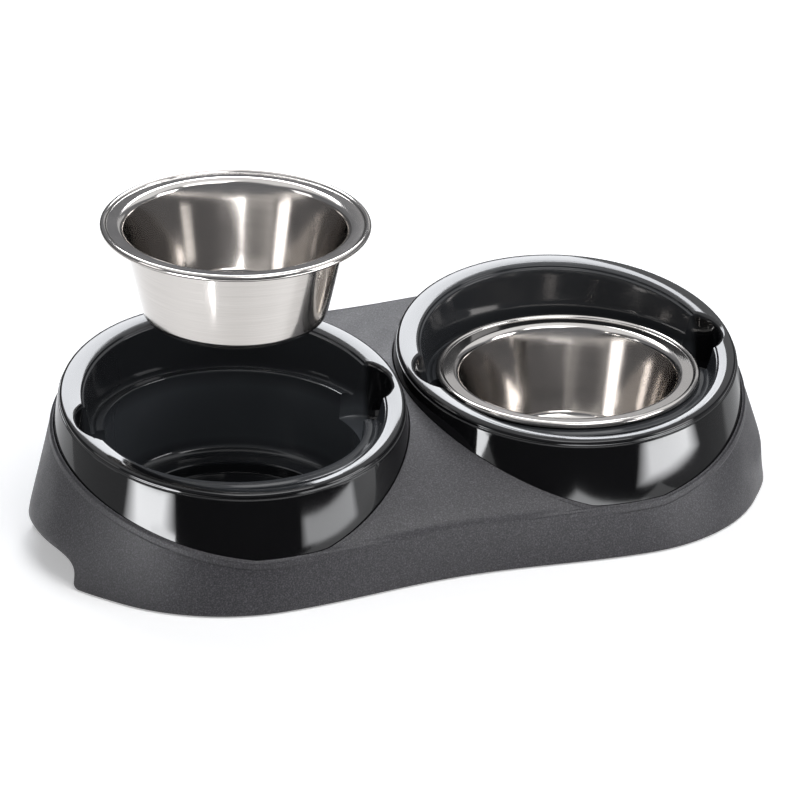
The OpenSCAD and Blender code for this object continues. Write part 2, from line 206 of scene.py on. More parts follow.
def groundPoint(along, turn):
    return (along * stand["footSpread"] + stand["footRound"] * cosDeg(turn),
            (stand["footRound"] - stand["footWaist"] * cosDeg(90 * along) ** 2) * sinDeg(turn))


def lipAt(y, z, top):
    # the flare round a handhold: most at the height of the handhold, and nothing at the top
    rise = mix(stand["lipFoot"], 1, z / stand["holdHeight"])
    fall = max((top - z) / (top - stand["holdHeight"]), 0.001)
    share = (rise ** -stand["lipTurn"] + fall ** -stand["lipTurn"]) ** (-1 / stand["lipTurn"])
    roundDrop = stand["footRound"] - math.sqrt(stand["footRound"] ** 2 - min(abs(y), stand["lipWidth"] / 2) ** 2)
    fade = np.clip((2 * abs(y - stand["holdBack"]) - stand["lipFlat"]) / (stand["lipWidth"] - stand["lipFlat"]), 0, 1)
    return (stand["lipOut"] + stand["lipPlain"] * roundDrop) * share * cosDeg(90 * fade) ** 2


def rimCurve(a, grow):
    # curve of a rim, drawn out by grow and seen from the axis of its well
    return (stand["rimRx"] + grow) * cosDeg(a), stand["rimBack"] + (stand["rimRy"] + grow) * sinDeg(a)


def seamPoint(a, grow):
    # where the collar of a well passes through the top of the stand, and how far under the rim that is
    depth = seek["depth"]
    for _ in range(seek["depthRounds"]):
        x, y = rimCurve(a, collarOut(depth) + grow)
        depth = rimAt(y) - topAt(x + wellX, y)
    return x + wellX, y, depth


def arcDrop(inset):
    # how far the rounded top edge falls below the top surface
    r = stand["edgeRound"]
    return r - math.sqrt(max(r * r - max(r - inset, 0) ** 2, 0))


def wellTurn(x, y):
    # direction of a place seen from the axis of its well, on the rim's ellipse
    return math.degrees(math.atan2((y - stand["rimBack"]) / stand["rimRy"], (x - wellX) / stand["rimRx"]))


def edgeInset(x, y):
    # how far a place on the top lies inside the top edge
    x = abs(x)
    if x <= wellX:
        side = 1 if y > stand["rimBack"] else -1
        return abs(edgePoint(x / wellX, 90 * side)[1] - y)
    ex, ey = edgePoint(1, wellTurn(x, y))
    return math.hypot(ex - x, ey - y)


def holdProfile(n):
    # one leg of the handhold from the top of the arch down to the ground, as (y, z)
    corner, half, high, power = stand["holdCorner"], stand["holdWidth"] / 2, stand["holdHeight"], stand["holdPower"]
    low = stand["footGap"]
    bend = stand["holdBend"]
    shoulder = (1 - bend ** power) ** (1 / power)
    leg = [(half * q, high * (1 - q ** power) ** (1 / power)) for q in np.linspace(0, bend, n // 2)]
    leg += [(half * (1 - q ** power) ** (1 / power), high * q)
            for q in np.linspace(shoulder, (low + corner) / high, n // 2 + 1)[1:]]
    footY = leg[-1][0] + corner
    turn = [(footY - corner * cosDeg(a), low + corner - corner * sinDeg(a)) for a in holdFootTurns]
    return leg + turn


def skirtAt(along, turn, share):
    low, high = groundPoint(along, turn), edgePoint(along, turn)
    x, y = mix(low[0], high[0], share), mix(low[1], high[1], share)
    top = topAt(*high) - stand["edgeRound"]
    z = mix(stand["footGap"], top, share)
    return x + lipAt(y, z, top), y, z


def holdTurn(y, z):
    # direction and height share of the skirt where it passes through a point of the arch
    low, high = -seek["turn"], seek["turn"]
    for _ in range(seek["turnRounds"]):
        turn = (low + high) / 2
        top = topAt(*edgePoint(1, turn)) - stand["edgeRound"]
        share = (z - stand["footGap"]) / (top - stand["footGap"])
        if skirtAt(1, turn, share)[1] < y:
            low = turn
        else:
            high = turn
    return turn, share


# ---- materials: scales count grains in a metre, relief is in metres, roughness goes from the first value to the second
matteLook = {
    "grain": 1150, "cloud": 60, "roughness": (0.40, 0.50), "bump": 0.5, "relief": 0.0002, "ior": 1.5,
    "colours": [(0.30, (0.019, 0.0185, 0.0205)), (0.5, (0.041, 0.0395, 0.044)), (0.72, (0.110, 0.106, 0.116))],
}
glossLook = {
    "outside": (0.0042, 0.0042, 0.0048), "mouthR": 90, "mouthFade": 3, "paintedLightTop": 100,
    # painted light inside a well, as colours by height in millimetres: recess, cup, and wall of the mouth. The black is
    # lightened most in the cup, to stand in for light it doesn't get, less on the wall of the mouth, and least in the
    # recess, which gets more light from above
    "inside": [(18, (0.009, 0.0096, 0.0108)), (30, (0.058, 0.063, 0.070)), (62, (0.058, 0.063, 0.070)),
               (74, (0.023, 0.0245, 0.027))],
    "haze": 25, "roughness": (0.045, 0.075), "scuffs": 420, "scuffed": 0.03, "insideDull": 0.04,
    "bump": 0.05, "relief": 0.0006, "ior": 1.5,
}
steelLook = {
    "marks": (25, 25, 2600), "smudge": 45, "roughness": (0.09, 0.13), "bump": 0.03, "relief": 0.00002,
    "colours": [(0.3, (0.55, 0.525, 0.50)), (0.7, (0.62, 0.595, 0.57))],
}
rubberLook = {
    "grain": 1200, "roughness": (0.7, 0.85), "bump": 0.3, "relief": 0.0001,
    "colours": [(0.35, (0.014, 0.014, 0.014)), (0.7, (0.03, 0.03, 0.03))],
}


def newMaterial(name):
    material = bpy.data.materials.new(name)
    material.use_nodes = True
    tree = material.node_tree
    return material, tree, tree.nodes["Principled BSDF"]


def mathNode(tree, operation, *values):
    node = tree.nodes.new("ShaderNodeMath")
    node.operation = operation
    for socket, value in zip(node.inputs, values):
        if isinstance(value, (int, float)):
            socket.default_value = value
        else:
            tree.links.new(value, socket)
    return node.outputs[0]


def noisePattern(tree, scale, detail, roughness=0.5, stretch=None):
    coordinates, noise = tree.nodes.new("ShaderNodeTexCoord"), tree.nodes.new("ShaderNodeTexNoise")
    noise.inputs["Scale"].default_value = scale
    noise.inputs["Detail"].default_value = detail
    noise.inputs["Roughness"].default_value = roughness
    source = coordinates.outputs["Object"]
    if stretch:
        mapping = tree.nodes.new("ShaderNodeMapping")
        mapping.inputs["Scale"].default_value = stretch
        tree.links.new(source, mapping.inputs["Vector"])
        source = mapping.outputs["Vector"]
    tree.links.new(source, noise.inputs["Vector"])
    return noise.outputs["Fac"]


def rangeNode(tree, source, goal, start=(0.3, 0.7)):
    node = tree.nodes.new("ShaderNodeMapRange")
    names = ("From Min", "From Max", "To Min", "To Max")
    for name, value in zip(names, (*start, *goal)):
        node.inputs[name].default_value = value
    tree.links.new(source, node.inputs["Value"])
    return node.outputs["Result"]


def colourRamp(tree, source, stops):
    ramp = tree.nodes.new("ShaderNodeValToRGB")
    ends = ramp.color_ramp.elements
    for end, (place, colour) in zip((ends[0], ends[1]), (stops[0], stops[-1])):
        end.position, end.color = place, (*colour, 1)
    for place, colour in stops[1:-1]:
        ends.new(place).color = (*colour, 1)
    tree.links.new(source, ramp.inputs["Fac"])
    return ramp.outputs["Color"]


def addRelief(tree, shader, source, look):
    bump = tree.nodes.new("ShaderNodeBump")
    bump.inputs["Strength"].default_value = look["bump"]
    bump.inputs["Distance"].default_value = look["relief"]
    tree.links.new(source, bump.inputs["Height"])
    tree.links.new(bump.outputs["Normal"], shader.inputs["Normal"])


def addGrain(tree, shader, grain, dullness, look):
    # one pattern gives colour and relief, another the roughness
    tree.links.new(colourRamp(tree, grain, look["colours"]), shader.inputs["Base Color"])
    tree.links.new(rangeNode(tree, dullness, look["roughness"]), shader.inputs["Roughness"])
    addRelief(tree, shader, grain, look)


def mattePlastic(look):
    material, tree, shader = newMaterial("spark eroded grey plastic")
    grain = noisePattern(tree, look["grain"], 3, 0.65)
    addGrain(tree, shader, grain, noisePattern(tree, look["cloud"], 3), look)
    shader.inputs["IOR"].default_value = look["ior"]
    return material


def glossPlastic(look):
    # polished outside, with a finer haze inside the mouth and the cup of a well, and painted light there: the colour
    # inside is lightened by height
    material, tree, shader = newMaterial("polished black plastic")
    coordinates, parts = tree.nodes.new("ShaderNodeTexCoord"), tree.nodes.new("ShaderNodeSeparateXYZ")
    tree.links.new(coordinates.outputs["Object"], parts.inputs[0])
    x, y, z = parts.outputs
    # distance from the axis of the nearer well
    across = mathNode(tree, "SUBTRACT", mathNode(tree, "ABSOLUTE", x), wellX * mm)
    squares = mathNode(tree, "ADD", mathNode(tree, "MULTIPLY", across, across), mathNode(tree, "MULTIPLY", y, y))
    fade = (look["mouthR"] * mm, (look["mouthR"] + look["mouthFade"]) * mm)
    inside = rangeNode(tree, mathNode(tree, "SQRT", squares), (1.0, 0.0), fade)
    # painted light: inside the mouth the colour comes from this ramp by height instead of the black of the outside
    height = rangeNode(tree, z, (0.0, 1.0), (0.0, look["paintedLightTop"] * mm))
    inner = colourRamp(tree, height, [(h / look["paintedLightTop"], colour) for h, colour in look["inside"]])
    colour = tree.nodes.new("ShaderNodeMix")
    colour.data_type = "RGBA"
    tree.links.new(inside, colour.inputs["Factor"])
    colour.inputs["A"].default_value = (*look["outside"], 1)
    tree.links.new(inner, colour.inputs["B"])
    tree.links.new(colour.outputs["Result"], shader.inputs["Base Color"])
    scuffs, haze = noisePattern(tree, look["scuffs"], 6, 0.65), noisePattern(tree, look["haze"], 3)
    worn = mathNode(tree, "ADD", rangeNode(tree, scuffs, (0.0, look["scuffed"]), (0.55, 0.8)),
                    rangeNode(tree, haze, look["roughness"]))
    dull = mathNode(tree, "MULTIPLY", inside, look["insideDull"])
    tree.links.new(mathNode(tree, "ADD", worn, dull), shader.inputs["Roughness"])
    addRelief(tree, shader, haze, look)
    shader.inputs["IOR"].default_value = look["ior"]
    return material


def bowlSteel(look):
    material, tree, shader = newMaterial("spun stainless steel")
    shader.inputs["Metallic"].default_value = 1
    marks = noisePattern(tree, 1, 4, stretch=look["marks"])
    addGrain(tree, shader, marks, noisePattern(tree, look["smudge"], 3), look)
    return material


def footRubber(look):
    material, tree, shader = newMaterial("black rubber")
    grain = noisePattern(tree, look["grain"], 3)
    addGrain(tree, shader, grain, grain, look)
    return material


greyFinish, blackFinish = mattePlastic(matteLook), glossPlastic(glossLook)
steelFinish, rubberFinish = bowlSteel(steelLook), footRubber(rubberLook)
print("materials made")


# ---- stand: skirt with its handholds, and the top with the openings of the wells
standDetail = {
    # how many columns and rows
    "sideColumns": 22, "endColumns": 30, "holdColumns": 20, "skirtRows": 26,
    "edgeRows": 7, "topRows": 16, "midColumns": 44, "flangeRows": 4,
    "edgeShare": 0.6, "seamShare": 0.3,  # most of a column's length that the edge and the seam may take
    "creaseTurns": (30, 50, 70, 90), "seamTurns": (30, 60, 90),
}


def skirtOutline(detail):
    # each column: place along the stand, direction and height share below, direction above
    outline = []
    for side in (-1, 1):
        arch = [holdTurn(stand["holdBack"] + side * y, z) for y, z in holdProfile(detail["holdColumns"])]
        low = arch + [(turn, 0.0) for turn in np.linspace(arch[-1][0], 90 * side, detail["endColumns"] + 1)[1:]]
        above = np.linspace(arch[0][0], 90 * side, len(low))
        columns = [(1, turn, share, up) for (turn, share), up in zip(low, above)]
        columns += [(a, 90 * side, 0.0, 90 * side) for a in np.linspace(1, 0, detail["sideColumns"] + 1)[1:]]
        outline = columns[:0:-1] if side < 0 else outline + columns
    return outline


def skirtGrid(outline, detail):
    return [[skirtAt(a, mix(turn, up, rise), mix(share, 1, rise)) for a, turn, share, up in outline]
            for rise in np.linspace(0, 1, detail["skirtRows"])]


def topColumn(x, y, onEdge, detail):
    # from the top edge or the middle line in to the opening of the well, and down its flange
    slip = edgeInset(x, y) if onEdge else 0
    ix, iy, _ = seamPoint(wellTurn(x, y), stand["seamGap"])
    length, edgeRound, seamRound = math.hypot(ix - x, iy - y), stand["edgeRound"], stand["seamRound"]
    seamLong = min(seamRound, detail["seamShare"] * length)
    edgeLong = min(edgeRound, detail["edgeShare"] * length)
    edgeTurn = math.degrees(math.acos(1 - edgeLong / edgeRound))
    steps = [edgeRound * (1 - cosDeg(edgeTurn * i / detail["edgeRows"])) for i in range(detail["edgeRows"])]
    steps += list(np.linspace(edgeLong, length - seamLong, detail["topRows"]))
    column = []
    for step in steps:
        px, py = mix(x, ix, step / length), mix(y, iy, step / length)
        inset = max(edgeInset(px, py) - slip * (1 - step / length), 0) if step > 0 or not onEdge else 0
        column.append((px, py, topAt(px, py) - arcDrop(inset)))
    zEdge = topAt(ix, iy) - arcDrop(edgeInset(ix, iy))
    for turn in detail["seamTurns"]:
        share = 1 - seamLong * (1 - sinDeg(turn)) / length
        column.append((mix(x, ix, share), mix(y, iy, share), zEdge - seamRound * (1 - cosDeg(turn))))
    away = math.hypot(ix - wellX, iy - stand["rimBack"])
    for i in range(1, detail["flangeRows"] + 1):
        drop = seamRound + stand["seamDeep"] * i / detail["flangeRows"]
        slope = stand["collarSlope"] * drop / away
        column.append((ix + slope * (ix - wellX), iy + slope * (iy - stand["rimBack"]), zEdge - drop))
    return column


def topGrid(outline, detail):
    # a loop of columns round the opening: the top edge first and then the middle line
    outer = [edgePoint(a, up) for a, turn, share, up in outline]
    frontY, rearY = outer[0][1], outer[-1][1]
    near = [stand["edgeRound"] * (1 - cosDeg(turn)) for turn in detail["creaseTurns"]]
    middle = [rearY - n for n in near]
    middle += list(np.linspace(rearY - near[-1] * 2, frontY + near[-1] * 2, detail["midColumns"]))
    middle += [frontY + n for n in near[::-1]]
    columns = [topColumn(x, y, True, detail) for x, y in outer] + [topColumn(0.0, y, False, detail) for y in middle]
    return list(zip(*columns))


def makeStand():
    outline = skirtOutline(standDetail)
    skirt, top = skirtGrid(outline, standDetail), topGrid(outline, standDetail)
    points, faces = [], []
    for flip in (1, -1):
        for grid, closed in ((skirt, False), (top, True)):
            start = len(points)
            points += [(flip * x, y, z) for row in grid for x, y, z in row]
            for face in gridFaces(len(grid), len(grid[0]), closed):
                face = tuple(start + i for i in face)
                faces.append(face if flip > 0 else face[::-1])
    piece = meshPiece("stand_shell", points, faces, greyFinish)
    finishWith(piece, "SOLIDIFY", thickness=stand["wall"] * mm, offset=-1, use_even_offset=False)
    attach(piece, "stand")
    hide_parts("stand_base")
    print("stand made:", len(piece.data.polygons), "faces")


makeStand()


# ---- wells: collar, rim, mouth with finger notches, ledge with its ridge, cup and recess
wellForm = {
    # mouth and band of the rim, and the collar under it
    "mouthRx": 91.3, "mouthRy": 87.3, "crown": 0.12, "mouthSoft": 3.9, "mouthDrop": 0.28,
    "collarTop": 4.4, "bandEdge": 3, "tuck": 5, "wall": 2,
    # ledge, cup and recess
    "ledgeZ": 72.1, "ledgeIn": 77.6, "ledgeOut": 86, "ledgeDeep": 2, "underLean": 1.6,
    "cupTaper": 3.6, "cupRound": 6, "floorZ": 20.5, "recessR": 57.5, "recessZ": 13,
    # finger notches
    "notchX": 78.8, "notchR": 19.5, "notchRound": 3, "notchDeep": 16, "notchSoft": 1.5,
    # how finely the skin is made
    "columns": 288, "collarRows": 12, "bandRows": 10, "wallRows": 8, "notchColumns": 120, "postColumns": 96,
    "toolReach": 20, "postDrop": 1.6,  # how far a tool stands over the rim, and how far the posts stay under it
    "sharpEdge": 28,  # in degrees, edges that bend more are drawn sharp
}
well = wellForm
# outer side of the rim, as (depth under the rim plane, reach outside the rim curve)
rimSideRows = [(3.9, 0.14), (3.62, 0.09), (3.46, 0.0), (3.36, -0.14), (3.32, -0.34), (3.29, -0.54), (3.2, -0.66),
               (3.0, -0.72), (2.5, -0.73), (2.0, -0.76), (1.55, -0.83), (1.12, -0.98), (0.75, -1.24), (0.42, -1.62),
               (0.18, -2.1), (0.05, -2.5)]
# rounded edge of the mouth and the small step inside it, as (depth, reach outside the mouth curve)
mouthRows = [(0.02, 3.5), (0.06, 2.9), (0.11, 2.3), (0.165, 1.7), (0.225, 1.15), (0.3, 0.75), (0.42, 0.4),
             (0.6, 0.16), (0.85, 0.04), (1.2, 0), (1.5, -0.06), (1.75, -0.2), (1.93, -0.46), (2.05, -0.82),
             (2.17, -1.15), (2.4, -1.38), (2.8, -1.48)]
# ledge with its ridge, as (radius, height above the ridge)
ledgeRows = [(85.9, -0.9), (85.65, -1.25), (85.2, -1.45), (84.4, -1.5), (83.75, -1.42), (83.2, -1.05), (82.7, -0.4),
             (82.2, -0.06), (81.4, 0), (80, 0), (78.9, 0), (78.3, -0.08), (77.85, -0.34), (77.62, -0.8)]
# rounded edge and foot of the recess, as (radius past its wall, height past the floor or the bottom)
recessEdge = [(1.6, 0), (0.75, -0.14), (0.2, -0.6), (0, -1.4)]
recessFoot = [(0, 1.4), (-0.25, 0.5), (-1, 0.08), (-2, 0)]
recessRings = (0.7, 0.4, 0.15)  # shares of its radius
# directions round the floor edge and the brim of a notch
notchFloorTurns = (0, 22, 45, 68, 90)
notchBrimTurns = (0, 10, 20, 30, 40, 50, 60, 70, 78, 84)


def mouthCurve(a, grow):
    return (well["mouthRx"] + grow) * cosDeg(a), (well["mouthRy"] + grow) * sinDeg(a)


def underRim(place, depth):
    x, y = place
    return np.stack([x, y, rimAt(y) - depth], -1)


def roundRow(a, radius, height):
    return np.stack([radius * cosDeg(a), radius * sinDeg(a), np.full_like(a, height)], -1)


def bandHeight(x, y):
    # height of the crowned band of the rim over a place, and of its plane elsewhere
    edge = well["bandEdge"]
    outer = 1 - np.hypot(x / (stand["rimRx"] - edge), (y - stand["rimBack"]) / (stand["rimRy"] - edge))
    inner = np.hypot(x / (well["mouthRx"] + well["mouthSoft"]), y / (well["mouthRy"] + well["mouthSoft"])) - 1
    share = np.clip(outer / np.maximum(outer + inner, 0.001), 0, 1)
    sunk = np.clip(-inner * well["mouthRy"] / well["mouthSoft"], 0, 1)
    return rimAt(y) + well["crown"] * 4 * share * (1 - share) - well["mouthDrop"] * sunk


def cupProfile(out):
    # from under the ledge down to the floor and its recess, drawn out by the wall
    ledgeIn, ledgeZ, cupRound = well["ledgeIn"], well["ledgeZ"], well["cupRound"]
    turnX, turnZ = ledgeIn - well["cupTaper"] - cupRound, well["floorZ"] + cupRound
    r, lean = cupRound + out, math.degrees(math.atan(well["cupTaper"] / (ledgeZ - well["floorZ"])))
    high = (ledgeIn + out - 0.06, ledgeZ - well["ledgeDeep"] - well["underLean"] * out)
    low = (turnX + r * cosDeg(lean), turnZ - r * sinDeg(lean))
    profile = [(mix(high[0], low[0], t), mix(high[1], low[1], t)) for t in np.linspace(0, 1, 13)]
    profile += [(turnX + r * cosDeg(a), turnZ - r * sinDeg(a)) for a in np.linspace(lean, 90, 7)[1:]]
    edge, floor, deep = well["recessR"] + out, well["floorZ"] - out, well["recessZ"] - out
    profile += [(edge + r, floor + h) for r, h in recessEdge] + [(edge + r, deep + h) for r, h in recessFoot]
    return profile + [(edge * share, deep) for share in recessRings]


def seenRows(a, low):
    # the side that shows, from the foot of the collar over the rim and down to the recess
    rows = []
    for share in np.linspace(1, 0, well["collarRows"]):
        depth = mix(well["collarTop"], low, share)
        rows.append(underRim(rimCurve(a, collarOut(depth)), depth))
    rows += [underRim(rimCurve(a, grow), depth) for depth, grow in rimSideRows]
    outer, inner = underRim(rimCurve(a, -well["bandEdge"]), 0), underRim(mouthCurve(a, well["mouthSoft"]), 0)
    for share in np.linspace(0, 1, well["bandRows"]):
        row = mix(outer, inner, share)
        row[:, 2] += well["crown"] * 4 * share * (1 - share)
        rows.append(row)
    rows += [underRim(mouthCurve(a, grow), depth) for depth, grow in mouthRows]
    ledge = [roundRow(a, radius, well["ledgeZ"] + height) for radius, height in ledgeRows]
    rows += [mix(rows[-1], ledge[0], t) for t in np.linspace(0, 1, well["wallRows"])[1:]]
    return rows + ledge[1:] + [roundRow(a, *place) for place in cupProfile(0)]


def hiddenRows(a, low):
    # the side that doesn't show, from the recess back to the foot of the collar
    wall, under = well["wall"], well["ledgeZ"] - well["ledgeDeep"]
    rows = [roundRow(a, *place) for place in cupProfile(wall)[::-1]]
    rows.append(roundRow(a, well["ledgeOut"] + wall, under - well["underLean"] * wall))
    # under the band and down the inner side of the collar, clear of the side that shows
    rows.append(underRim(mouthCurve(a, 1), 4.5))
    return rows + [underRim(rimCurve(a, collarOut(d) - wall), d) for d in (5 + 0 * a, mix(5, low, 0.5), low)]


def wellSkin():
    columns = well["columns"]
    a = np.arange(columns) * 360 / columns
    low = seamPoint(a, 0)[2] + well["tuck"]
    rows = seenRows(a, low)
    seen = len(rows)
    rows += hiddenRows(a, low)
    points = [tuple(p) for row in rows for p in row]
    # a closed skin: the last row joins the first one, and the two rows of the recess are capped
    faces = gridFaces(seen, columns, True)
    faces += [tuple(seen * columns + i for i in face) for face in gridFaces(len(rows) - seen, columns, True)]
    last = (len(rows) - 1) * columns
    faces += [(last + c, last + (c + 1) % columns, (c + 1) % columns, c) for c in range(columns)]
    points += [(0, 0, well["recessZ"]), (0, 0, well["recessZ"] - well["wall"])]
    for row, middle, turned in ((seen - 1, len(points) - 2, False), (seen, len(points) - 1, True)):
        for c in range(columns):
            face = (row * columns + c, row * columns + (c + 1) % columns, middle)
            faces.append(face[::-1] if turned else face)
    return points, faces


def loftPiece(name, lofts):
    # closed bodies from rows of points, with flat ends
    points, faces = [], []
    for rows in lofts:
        start, n = len(points), len(rows[0])
        points += [tuple(p) for row in rows for p in row]
        faces += [tuple(start + i for i in face) for face in gridFaces(len(rows), n, True)]
        faces.append(tuple(start + i for i in range(n))[::-1])
        faces.append(tuple(start + (len(rows) - 1) * n + i for i in range(n)))
    return meshPiece(name, points, faces, blackFinish)


def notchRing(side, radius, heightOf, columns):
    a = np.arange(columns) * 360 / columns
    x, y = side * well["notchX"] + radius * cosDeg(a), radius * sinDeg(a)
    return np.stack([x, y, heightOf(x, y) + 0 * x], -1)


def notchTool():
    # what is cut away for the fingers, with a soft floor edge and a brim that follows the tilted band
    floor, radius, columns = well["ledgeZ"] - well["notchDeep"], well["notchR"], well["notchColumns"]
    edge, soft = well["notchRound"], well["notchSoft"]
    lofts = []
    for side in (-1, 1):
        rows = [notchRing(side, radius - soft + soft * sinDeg(t), lambda x, y: floor + soft * (1 - cosDeg(t)), columns)
                for t in notchFloorTurns]
        brim = notchRing(side, radius + edge * (1 - cosDeg(notchBrimTurns[-1])), bandHeight, columns)
        for t in notchBrimTurns:
            row = notchRing(side, radius + edge * (1 - cosDeg(t)), lambda x, y: 0, columns)
            row[:, 2] = brim[:, 2] - edge * (1 - sinDeg(t))
            rows.append(row)
        rows.append(brim + np.array([0, 0, well["toolReach"]]))
        lofts.append(rows)
    return loftPiece("notches", lofts)


def notchPosts():
    # round posts that give the notches their walls
    low, radius = well["ledgeZ"] - well["notchDeep"] - well["wall"], well["notchR"] + well["wall"]
    columns = well["postColumns"]
    ends = (lambda x, y: low, lambda x, y: rimAt(y) - well["postDrop"])
    return loftPiece("posts", [[notchRing(side, radius, end, columns) for end in ends] for side in (-1, 1)])


def wellHollow():
    # the free space of the well, inside the middle of its wall, which the posts leave open
    a, half = np.arange(180) * 2.0, well["wall"] / 2
    under = well["ledgeZ"] - 2.5
    rows = [roundRow(a, well["ledgeIn"] - well["cupTaper"] + half, well["floorZ"] + well["cupRound"]),
            roundRow(a, well["ledgeIn"] + half, under), roundRow(a, well["ledgeOut"] + half, under + 0.5)]
    return loftPiece("hollow", [rows + [underRim(mouthCurve(a, half), depth) for depth in (4, -well["toolReach"])]])


def makeWells():
    posts = notchPosts()
    carve(posts, wellHollow(), "DIFFERENCE")
    shell = meshPiece("well_shell", *wellSkin(), blackFinish)
    carve(shell, posts, "UNION")
    carve(shell, notchTool(), "DIFFERENCE")
    points = np.array([v.co for v in shell.data.vertices]) / mm + np.array([wellX, 0, 0])
    faces = [tuple(face.vertices) for face in shell.data.polygons]
    bpy.data.objects.remove(shell)
    for node, mirrored in (("left_well", True), ("right_well", False)):
        name = node + "_moulding"
        piece = meshPiece(name, points, faces, blackFinish, mirrored)
        piece.data.set_sharp_from_angle(angle=math.radians(well["sharpEdge"]))
        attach(piece, "stand")
        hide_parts(node)
        print(name, "made:", len(piece.data.polygons), "faces")


makeWells()


# ---- Geometry Nodes lathe: turns the profile on its object round an upright axis and repeats it at places
def latheTree():
    tree = bpy.data.node_groups.new("turnedShape", "GeometryNodeTree")
    face = tree.interface
    face.new_socket("Geometry", in_out="INPUT", socket_type="NodeSocketGeometry")
    face.new_socket("Places", in_out="INPUT", socket_type="NodeSocketObject")
    face.new_socket("Segments", in_out="INPUT", socket_type="NodeSocketInt").default_value = 192
    face.new_socket("Finish", in_out="INPUT", socket_type="NodeSocketMaterial")
    face.new_socket("Geometry", in_out="OUTPUT", socket_type="NodeSocketGeometry")
    node, link = tree.nodes.new, tree.links.new
    inputs, output = node("NodeGroupInput"), node("NodeGroupOutput")
    shape, segments = inputs.outputs["Geometry"], inputs.outputs["Segments"]
    count, grid = node("GeometryNodeAttributeDomainSize"), node("GeometryNodeMeshGrid")
    link(shape, count.inputs["Geometry"])
    rows, index = count.outputs["Point Count"], node("GeometryNodeInputIndex").outputs[0]
    link(rows, grid.inputs["Vertices Y"])
    link(mathNode(tree, "ADD", segments, 1), grid.inputs["Vertices X"])
    # grid points are numbered along Y first, so the place on the profile is the remainder
    sample = node("GeometryNodeSampleIndex")
    sample.data_type = "FLOAT_VECTOR"
    link(shape, sample.inputs["Geometry"])
    link(node("GeometryNodeInputPosition").outputs[0], sample.inputs["Value"])
    link(mathNode(tree, "MODULO", index, rows), sample.inputs["Index"])
    step = mathNode(tree, "FLOOR", mathNode(tree, "DIVIDE", index, rows))
    turn = node("ShaderNodeVectorRotate")
    turn.rotation_type = "Z_AXIS"
    link(sample.outputs["Value"], turn.inputs["Vector"])
    link(mathNode(tree, "MULTIPLY", mathNode(tree, "DIVIDE", step, segments), 2 * math.pi), turn.inputs["Angle"])
    move, weld = node("GeometryNodeSetPosition"), node("GeometryNodeMergeByDistance")
    link(grid.outputs["Mesh"], move.inputs["Geometry"])
    link(turn.outputs[0], move.inputs["Position"])
    weld.inputs["Distance"].default_value = seamWeld
    link(move.outputs["Geometry"], weld.inputs["Geometry"])
    spots, repeat = node("GeometryNodeObjectInfo"), node("GeometryNodeInstanceOnPoints")
    link(inputs.outputs["Places"], spots.inputs["Object"])
    link(spots.outputs["Geometry"], repeat.inputs["Points"])
    link(weld.outputs["Geometry"], repeat.inputs["Instance"])
    real, smooth = node("GeometryNodeRealizeInstances"), node("GeometryNodeSetShadeSmooth")
    paint = node("GeometryNodeSetMaterial")
    link(repeat.outputs["Instances"], real.inputs["Geometry"])
    link(real.outputs["Geometry"], smooth.inputs["Geometry"])
    link(smooth.outputs["Geometry"], paint.inputs["Geometry"])
    link(inputs.outputs["Finish"], paint.inputs["Material"])
    link(paint.outputs["Geometry"], output.inputs["Geometry"])
    return tree


seamWeld = 0.000005  # in metres, closes the seam and the poles of a turned shape
turnedShape = latheTree()


def pointsObject(name, places):
    mesh = bpy.data.meshes.new(name)
    mesh.from_pydata([tuple(c * mm for c in p) for p in places], [], [])
    thing = bpy.data.objects.new(name, mesh)
    bpy.context.scene.collection.objects.link(thing)
    return thing


def turnedPiece(name, profile, places, segments, finish):
    # profile is a list of (radius, height) from the bottom of the axis round to its top
    source = pointsObject(name, [(r, 0, h) for r, h in profile])
    spots = pointsObject(name + "_places", places)
    modifier = source.modifiers.new("lathe", "NODES")
    modifier.node_group = turnedShape
    sockets = {s.name: s.identifier for s in turnedShape.interface.items_tree if s.in_out == "INPUT"}
    for socket, value in (("Places", spots), ("Segments", segments), ("Finish", finish)):
        modifier[sockets[socket]] = value
    graph = bpy.context.evaluated_depsgraph_get()
    mesh = bpy.data.meshes.new_from_object(source.evaluated_get(graph))
    bm = bmesh.new()
    bm.from_mesh(mesh)
    bmesh.ops.recalc_face_normals(bm, faces=bm.faces)
    bm.to_mesh(mesh)
    bm.free()
    for thing in (source, spots):
        bpy.data.objects.remove(thing)
    mesh.name = name
    piece = bpy.data.objects.new(name, mesh)
    bpy.context.scene.collection.objects.link(piece)
    return piece


def footOf(node):
    # middle of a node's lowest side, in millimetres
    low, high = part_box(node)
    return (low.x + high.x) / 2 / mm, (low.y + high.y) / 2 / mm, low.z / mm


# ---- bowls
bowlForm = {
    "width": 160, "height": 60, "steel": 1, "bead": 4, "beadOverlap": 0.6, "base": 96, "baseRound": 7.5,
    "flange": 9.5, "flangeRound": 4, "segments": 256, "beadSteps": 26, "roundSteps": 12,
}
baseRings = (0, 8, 16, 24, 32, 40)
sideShares = (0.2, 0.4, 0.6, 0.8)


